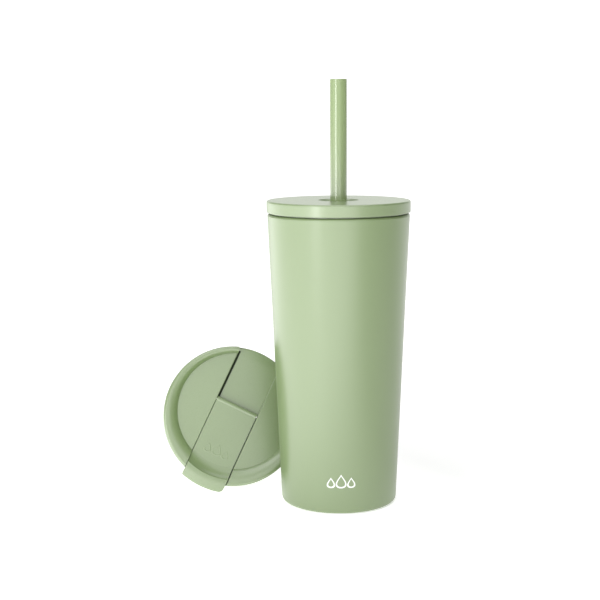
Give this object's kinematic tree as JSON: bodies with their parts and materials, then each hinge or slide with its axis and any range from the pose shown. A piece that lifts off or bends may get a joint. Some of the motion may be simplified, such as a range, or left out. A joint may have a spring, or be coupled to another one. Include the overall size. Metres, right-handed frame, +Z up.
{
  "type": "insulated travel mug",
  "caption": "Tapered double-wall travel mug with a press-in straw lid, a drinking straw, and a spare flip lid whose hinged tab closes a spout.",
  "frame": {"origin": "centre of the foot, on the plane the mug stands on", "axes": "+Z up along the vessel's axis, +X to the right, +Y to the back; the flip lid is on the -X side"},
  "size_m": [0.1537, 0.1019, 0.2553],
  "materials": {
    "sage_coat": "satin powder coat, fine grain",
    "steel": "brushed stainless",
    "seal_glass": "fused solder glass bead",
    "getter": "pressed metal powder",
    "pad_silicone": "matte silicone",
    "sage_plastic": "satin moulded",
    "clear_silicone": "matte translucent silicone",
    "sage_silicone": "matte silicone",
    "sage_straw": "semi-gloss extruded"
  },
  "bodies": {
    "vessel": {"outer_shell": "sage_coat", "inner_liner": "steel", "shell_bottom": "steel", "evacuation_seal": "seal_glass", "getter_cup": "steel", "getter_pellet": "getter", "base_cover": "steel", "base_pad": "pad_silicone"},
    "straw_lid": {"straw_lid_cover": "sage_plastic", "straw_lid_plug": "sage_plastic", "straw_lid_gasket": "clear_silicone", "straw_grommet": "sage_silicone"},
    "straw": {"drinking_straw": "sage_straw"},
    "flip_lid": {"flip_lid_cover": "sage_plastic", "flip_lid_plug": "sage_plastic", "flip_lid_gasket": "clear_silicone", "hinge_pin": "steel"},
    "tab": {"flip_tab": "sage_plastic", "spout_stopper": "clear_silicone", "vent_stopper": "clear_silicone"}
  },
  "joints": [
    {"name": "straw_lid_lift", "type": "slide", "parent": "vessel", "child": "straw_lid", "axis": [0, 0, 1], "range_m": [0, 0.185]},
    {"name": "straw_slide", "type": "slide", "parent": "straw_lid", "child": "straw", "axis": [0, 0, 1], "range_m": [-0.004, 0.025]},
    {"name": "flip_lid_take", "type": "slide", "parent": "vessel", "child": "flip_lid", "axis": [-0.5, 0, 0.866], "range_m": [0, 0.2]},
    {"name": "flip_tab_hinge", "type": "hinge", "parent": "flip_lid", "child": "tab", "pos_m": [-0.06424, 0.03082, 0.04986], "axis": [-0.8933, -0.0274, 0.4486], "range_deg": [0, 100]}
  ]
}
